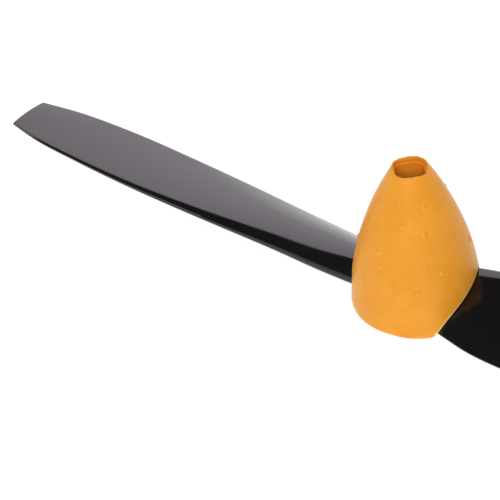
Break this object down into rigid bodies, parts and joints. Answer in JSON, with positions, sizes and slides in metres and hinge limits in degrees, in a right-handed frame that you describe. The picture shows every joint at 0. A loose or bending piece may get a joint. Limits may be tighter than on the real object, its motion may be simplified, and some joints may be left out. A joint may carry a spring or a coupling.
{
  "type": "model aircraft propeller with spinner",
  "caption": "Glossy black moulded propeller for a model aeroplane, with a soft orange nose cone, hub fittings and a shaft adapter.",
  "frame": {"origin": "on the shaft's axis, at the rear face of the shaft adapter", "axes": "+Z forward along the shaft to the nose, X along the blades, Y across them; seen from the nose the propeller turns anticlockwise"},
  "size_m": [0.254, 0.03, 0.0432],
  "materials": {
    "black_nylon": "glossy black injection-moulded nylon",
    "orange_vinyl": "soft waxy orange moulded vinyl with small raised pips",
    "black_plastic": "satin black moulded plastic",
    "white_plastic": "natural white moulded plastic",
    "turned_aluminium": "turned aluminium with fine tool rings",
    "black_steel": "black oxide steel",
    "zinc_steel": "bright zinc-plated steel"
  },
  "bodies": {
    "adapter": {"shaft_adapter": "turned_aluminium", "grub_screw_1": "black_steel", "grub_screw_2": "black_steel"},
    "rotor": {"propeller": "black_nylon", "hub_bush": "white_plastic", "spinner_backplate": "black_plastic"},
    "nose_cone": {"spinner": "orange_vinyl"},
    "screw_washers": {"flat_washer": "zinc_steel", "spring_washer": "zinc_steel"},
    "screw": {"retaining_screw": "zinc_steel"}
  },
  "joints": [
    {"name": "propeller_spin", "type": "hinge", "parent": "adapter", "child": "rotor", "pos_m": [0, 0, 0], "axis": [0, 0, 1], "continuous": true},
    {"name": "spinner_lift", "type": "slide", "parent": "rotor", "child": "nose_cone", "axis": [0, 0, 1], "range_m": [0, 0.03]},
    {"name": "retaining_screw_travel", "type": "slide", "parent": "nose_cone", "child": "screw_washers", "axis": [0, 0, 1], "range_m": [0, 0.009]},
    {"name": "retaining_screw_turn", "type": "hinge", "parent": "screw_washers", "child": "screw", "pos_m": [0, 0, 0], "axis": [0, 0, 1], "range_deg": [0, 6480]}
  ],
  "couplings": [
    {"joint": "retaining_screw_turn", "follows": "retaining_screw_travel", "rad_per_m": 12566}
  ]
}
